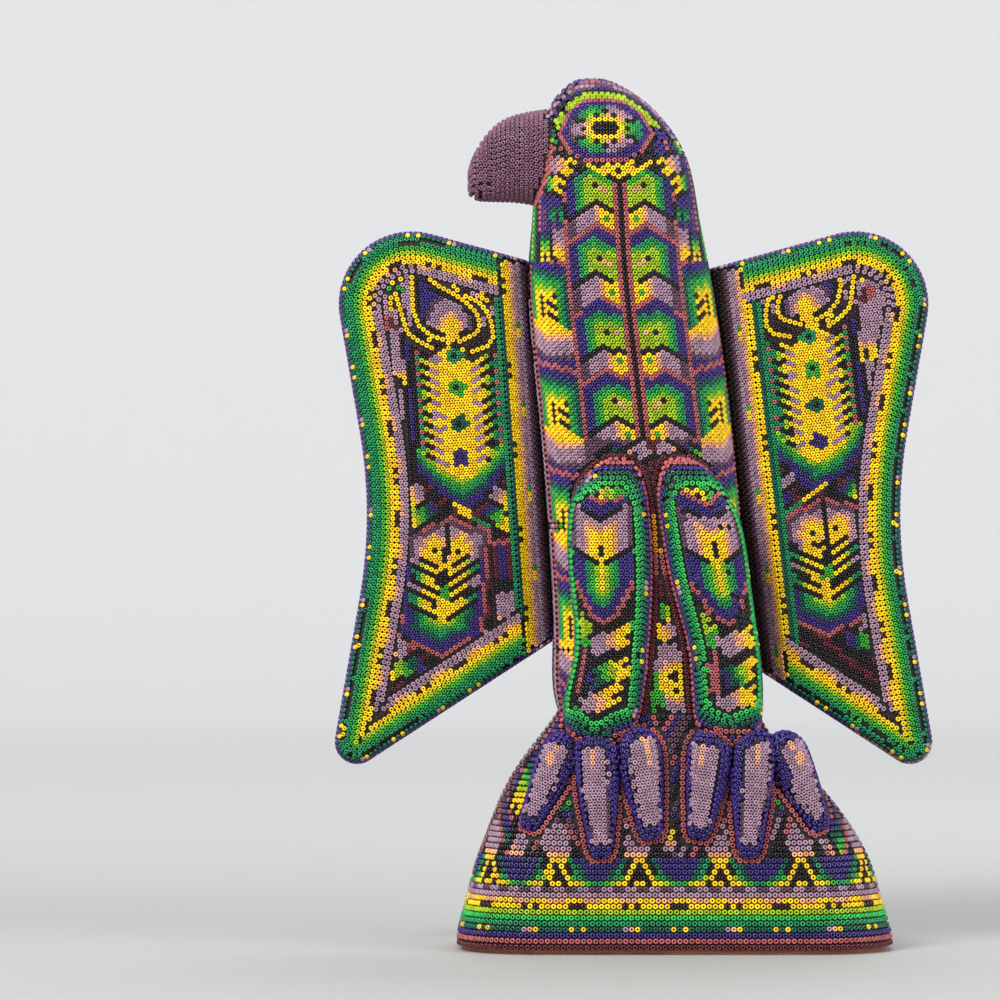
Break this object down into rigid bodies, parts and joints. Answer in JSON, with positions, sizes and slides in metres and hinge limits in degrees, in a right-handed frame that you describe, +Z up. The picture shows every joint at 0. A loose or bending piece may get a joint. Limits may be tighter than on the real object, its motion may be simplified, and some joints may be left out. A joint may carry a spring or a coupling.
{
  "type": "beaded wooden bird figure",
  "caption": "Standing carved wooden eagle with spread wings, head in profile and a flared tail foot, covered in glass seed beads pressed into wax.",
  "frame": {"origin": "middle of the flat underside of the flared tail that the figure stands on", "axes": "+Z up, from the underside to the crown; +X across the wings, from the figure's right wing (the side its beak points to) to its left wing; -Y out of the breast, towards the viewer"},
  "size_m": [0.2128, 0.0849, 0.3098],
  "materials": {
    "carved_wood": "carved softwood, bare under the wax and at the rim of the underside",
    "dowel_wood": "turned dowel, glued in",
    "wax_coat": "dark beeswax and resin, spread by hand",
    "patterned_beads": "opaque glass seed beads in a many-coloured pattern, glossy",
    "mauve_beads": "opaque glass seed beads in one mauve, glossy"
  },
  "bodies": {
    "root": {"body_core": "carved_wood", "tail_core": "carved_wood", "beak_core": "carved_wood", "left_wing_core": "carved_wood", "right_wing_core": "carved_wood", "left_leg_core": "carved_wood", "right_leg_core": "carved_wood", "left_talons_core": "carved_wood", "right_talons_core": "carved_wood", "left_tail_dowel": "dowel_wood", "right_tail_dowel": "dowel_wood", "beak_dowel": "dowel_wood", "left_wing_upper_dowel": "dowel_wood", "left_wing_lower_dowel": "dowel_wood", "right_wing_upper_dowel": "dowel_wood", "right_wing_lower_dowel": "dowel_wood", "left_leg_upper_dowel": "dowel_wood", "left_leg_lower_dowel": "dowel_wood", "right_leg_upper_dowel": "dowel_wood", "right_leg_lower_dowel": "dowel_wood", "body_wax": "wax_coat", "tail_wax": "wax_coat", "beak_wax": "wax_coat", "left_wing_wax": "wax_coat", "right_wing_wax": "wax_coat", "left_leg_wax": "wax_coat", "right_leg_wax": "wax_coat", "left_talons_wax": "wax_coat", "right_talons_wax": "wax_coat", "body_bead_skin": "patterned_beads", "tail_bead_skin": "patterned_beads", "beak_bead_skin": "mauve_beads", "left_wing_bead_skin": "patterned_beads", "right_wing_bead_skin": "patterned_beads", "left_leg_bead_skin": "patterned_beads", "right_leg_bead_skin": "patterned_beads", "left_talons_bead_skin": "patterned_beads", "right_talons_bead_skin": "patterned_beads"}
  },
  "joints": []
}
